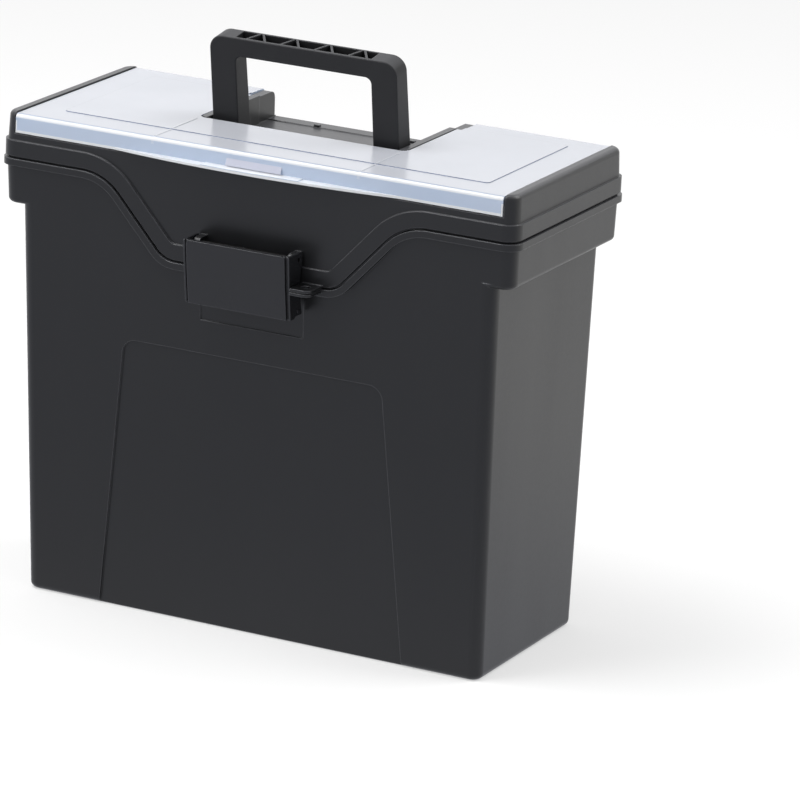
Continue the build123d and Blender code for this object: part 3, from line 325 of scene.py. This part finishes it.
def moulded_plastic(name, shade, roughness, grain, edge_highlight_lift, painted_light_lift, index=PLASTIC_INDEX):
    """Satin moulded polypropylene: fine grain, faint flow marks, painted highlight and wear on edges,
    painted light on tops and step sides, painted shade in inner corners.

    The lifts say how many times lighter than the shade the painted edge highlights and painted-lit
    faces are.
    """
    material, nodes = new_material(name)
    place = nodes.place()
    flow = nodes.drawn_out(place, FLOW_DRAW, FLOW_SCALE, FLOW_DETAIL)
    speck = nodes.noise(place, SPECK_SCALE)
    open_air = nodes.openness(CREVICE_REACH)
    eased, edge = nodes.rounded_edges(EDGE_RADIUS)

    cloud = nodes.noise(place, CLOUD_SCALE, CLOUD_DETAIL)
    mottle = nodes.spread(nodes.together(cloud, flow), 0.0, 1.0)
    colour = nodes.blend(mottle, shaded(shade, 1 - MOTTLE), shaded(shade, 1 + MOTTLE))
    # painted light: tops and the sides of the front's steps made paler
    painted_lit = painted_light_faces(nodes, place)
    colour = nodes.blend(painted_lit, colour, shaded(shade, painted_light_lift))
    # painted highlight, with wear, along eased edges, kept out of inner corners
    edge_unevenness = nodes.scaled(speck, *SPECK_SPAN, *SPECK_HIGHLIGHT_WEAR)
    edge_highlight_and_wear = nodes.product(edge, edge_unevenness, nodes.fade(open_air, *HIGHLIGHT_WEAR_SPAN))
    colour = nodes.blend(edge_highlight_and_wear, colour, shaded(shade, edge_highlight_lift))
    # painted shade in inner corners and grooves, held back on the painted-lit faces
    clear_of_painted_shade = nodes.math("MAXIMUM", nodes.fade(open_air, *CREVICE_SPAN), nodes.product(painted_lit, PAINTED_LIGHT_HOLDS))
    colour = nodes.blend(clear_of_painted_shade, shaded(shade, CREVICE_PAINTED_SHADE), colour)

    uneven = nodes.together(flow, speck)
    rough = nodes.spread(uneven, roughness - ROUGH_SPREAD, roughness + ROUGH_SPREAD)
    rough = nodes.math("SUBTRACT", rough, nodes.product(edge_highlight_and_wear, POLISH))
    nodes.finish(colour, rough, nodes.grain(place, GRAIN_SCALE, grain, eased), IOR=index)
    return material


def frosted_plastic(name):
    """Milky clear polypropylene: painted shade on the bluer upright lip and the panel's steps, painted
    light on the catch pad, painted highlights where it bends and on the finger pull, paler lines over
    the ribs.
    """
    material, nodes = new_material(name)
    place = nodes.place()
    spot = nodes.apart(place)
    across = nodes.math("ABSOLUTE", spot["X"])
    cloud = nodes.noise(place, COVER_CLOUD_SCALE, CLOUD_DETAIL)
    level = nodes.math("ABSOLUTE", nodes.facing()["Z"])
    low = nodes.math("LESS_THAN", spot["Z"], BEND_Z)

    # painted light and shade, by how level each face lies
    bend = nodes.add("ShaderNodeValToRGB", None, Fac=level)
    ramp = bend.color_ramp
    for position, tint in LEVEL_TINTS:
        ramp.elements.new(position).color = tint
    ramp.elements[0].color = LIP_BLUE
    ramp.elements[-1].color = SHEET_WHITE
    colour = nodes.blend(nodes.spread(cloud, 0.0, MILK_MOST), bend.outputs["Color"], MILK_WHITE)

    # painted shade on the raised panel's upright steps
    step = nodes.product(nodes.math("LESS_THAN", level, UPRIGHT),
                         nodes.math("GREATER_THAN", spot["Z"], STEP_Z),
                         nodes.math("LESS_THAN", spot["Y"], STEP_BACK))
    colour = nodes.blend(step, colour, STEP_PAINTED_SHADE)
    # painted light on the catch pad's sloping faces
    catch = nodes.product(low, nodes.math("GREATER_THAN", level, SLOPING))
    colour = nodes.blend(catch, colour, CATCH_GREY)

    # painted highlight on the finger pull's flat faces and foot, and at the lip's ends
    flat = nodes.math("GREATER_THAN", level, FLAT)
    ends = nodes.math("GREATER_THAN", across, LIP_END)
    foot = nodes.math("LESS_THAN", spot["Z"], LIP_FOOT)
    pull = nodes.product(low, nodes.math("MAXIMUM", flat, nodes.math("MAXIMUM", ends, foot)))
    colour = nodes.blend(pull, colour, BEND_WHITE)

    aside = nodes.math("ABSOLUTE", nodes.math("SUBTRACT", across, RIB_X))
    rib = nodes.product(nodes.math("LESS_THAN", aside, RIB_HALF),
                        nodes.math("LESS_THAN", spot["Y"], RIB_BACK),
                        nodes.math("GREATER_THAN", spot["Z"], BEND_Z), RIB_SHOWS)
    colour = nodes.blend(rib, colour, BEND_WHITE)

    eased, _ = nodes.rounded_edges(COVER_EDGE_RADIUS)
    nodes.finish(colour, nodes.spread(cloud, *COVER_ROUGHNESS),
                 nodes.grain(place, COVER_GRAIN_SCALE, COVER_GRAIN, eased),
                 IOR=PLASTIC_INDEX, Transmission_Weight=COVER_CLEAR)
    return material


def drawn_steel(name, shade, roughness):
    """Drawn wire, with fine lines round it."""
    material, nodes = new_material(name)
    lines = nodes.drawn_out(nodes.place(), WIRE_DRAW, WIRE_SCALE, WIRE_DETAIL)
    darker = grey(shade * (1 - WIRE_CONTRAST))
    lighter = grey(shade * (1 + WIRE_CONTRAST), WIRE_WARMTH)
    colour = nodes.blend(lines, darker, lighter)
    rough = nodes.spread(lines, roughness - WIRE_SPREAD, roughness + WIRE_SPREAD)
    nodes.finish(colour, rough, Metallic=1.0)
    return material


def dress(node, material):
    """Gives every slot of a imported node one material."""
    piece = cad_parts[node]
    if not piece.material_slots:
        piece.data.materials.append(material)
    for slot in piece.material_slots:
        slot.material = material


# ---- light and floor ------------------------------------------------------------------------------
def make_room():
    """Soft light from all round, with the white sweep seen by the camera and by gloss."""
    world = bpy.data.worlds.new("room")
    bpy.context.scene.world = world
    world.use_nodes = True
    nodes = Nodes(world.node_tree)
    ray = nodes.add("ShaderNodeLightPath").outputs
    forward = nodes.apart(nodes.add("ShaderNodeTexCoord").outputs["Generated"])["Y"]
    mirrored = nodes.blend(nodes.fade(forward, *GLOSS_TURN), GLOSS_FRONT, WHITE)
    colour = nodes.blend(ray["Is Glossy Ray"], WHITE, mirrored)
    seen = nodes.math("MAXIMUM", ray["Is Camera Ray"], ray["Is Transmission Ray"])
    seen = nodes.math("MAXIMUM", seen, ray["Is Glossy Ray"])
    strength = nodes.scaled(seen, 0.0, 1.0, ROOM_SHADE, 1.0)
    light = nodes.add("ShaderNodeBackground", None, Color=colour, Strength=strength)
    nodes.add("ShaderNodeOutputWorld", None, Surface=light.outputs[0])


def make_floor():
    """A plain pale floor that keeps the box's shadow."""
    mesh = bpy.data.meshes.new("floor")
    half = FLOOR_HALF
    corners = [(-half, -half, 0), (half, -half, 0), (half, half, 0), (-half, half, 0)]
    mesh.from_pydata(corners, [], [(0, 1, 2, 3)])
    floor = bpy.data.objects.new("floor", mesh)
    bpy.context.scene.collection.objects.link(floor)
    material, nodes = new_material("pale_floor")
    ray = nodes.add("ShaderNodeLightPath").outputs
    back = nodes.apart(nodes.place())["Y"]
    mirror_shade = nodes.blend(nodes.fade(back, *FLOOR_TURN), GLOSS_FRONT, WHITE)
    glow_strength = nodes.product(ray["Is Camera Ray"], FLOOR_GLOW)
    lit = nodes.add("ShaderNodeBsdfDiffuse", None, Color=grey(FLOOR_SHADE)).outputs[0]
    glow = nodes.add("ShaderNodeEmission", None, Color=WHITE, Strength=glow_strength).outputs[0]
    mirrored = nodes.add("ShaderNodeEmission", None, Color=mirror_shade, Strength=1.0).outputs[0]
    plain = nodes.shader_pair("ShaderNodeAddShader", lit, glow)
    nodes.output(nodes.shader_pair("ShaderNodeMixShader", ray["Is Glossy Ray"], plain, mirrored))
    mesh.materials.append(material)


def soft_box(name, place, target, width, height, watts):
    """A rectangular lamp that faces a point."""
    data = bpy.data.lights.new(name, "AREA")
    data.shape = "RECTANGLE"
    data.size = width
    data.size_y = height
    data.energy = watts
    lamp = bpy.data.objects.new(name, data)
    lamp.location = place
    lamp.rotation_euler = (Vector(place) - Vector(target)).to_track_quat("Z", "Y").to_euler()
    bpy.context.scene.collection.objects.link(lamp)


place_camera()
make_room()
make_floor()
for lamp in LAMPS:
    soft_box(*lamp)

# The lifts set the painted edge highlights and the painted light on tops and step sides.
SHELL = moulded_plastic("shell_polypropylene", shade=(0.0100, 0.0102, 0.0112, 1.0),
                        roughness=0.33, grain=0.25, edge_highlight_lift=9.0, painted_light_lift=6.0)
HANDLE = moulded_plastic("handle_polypropylene", shade=(0.0225, 0.0228, 0.0245, 1.0),
                         roughness=0.46, grain=0.22, edge_highlight_lift=4.5, painted_light_lift=2.6, index=1.30)
LATCH = moulded_plastic("latch_polypropylene", shade=(0.0150, 0.0153, 0.0178, 1.0),
                        roughness=0.24, grain=0.12, edge_highlight_lift=3.0, painted_light_lift=1.0)
COVER = frosted_plastic("cover_polypropylene")
BRIGHT_STEEL = drawn_steel("drawn_steel", shade=0.59, roughness=0.29)
# near-black: painted shade for the dark hollow of the latch, round its pin
HOLLOW_SHADE_STEEL = drawn_steel("hollow_shade_steel", shade=0.02, roughness=0.42)

DRESSING = ((SHELL, ("tub", "lid")),
            (HANDLE, ("carry_handle",)),
            (LATCH, ("latch",)),
            (COVER, ("organiser_cover",)),
            (HOLLOW_SHADE_STEEL, ("latch_pin",)),
            (BRIGHT_STEEL, ("handle_pin_left", "handle_pin_right",
                            "lid_hinge_pin_left", "lid_hinge_pin_right")))
for material, pieces in DRESSING:
    for piece in pieces:
        dress(piece, material)

bpy.context.scene.view_settings.view_transform = "Standard"
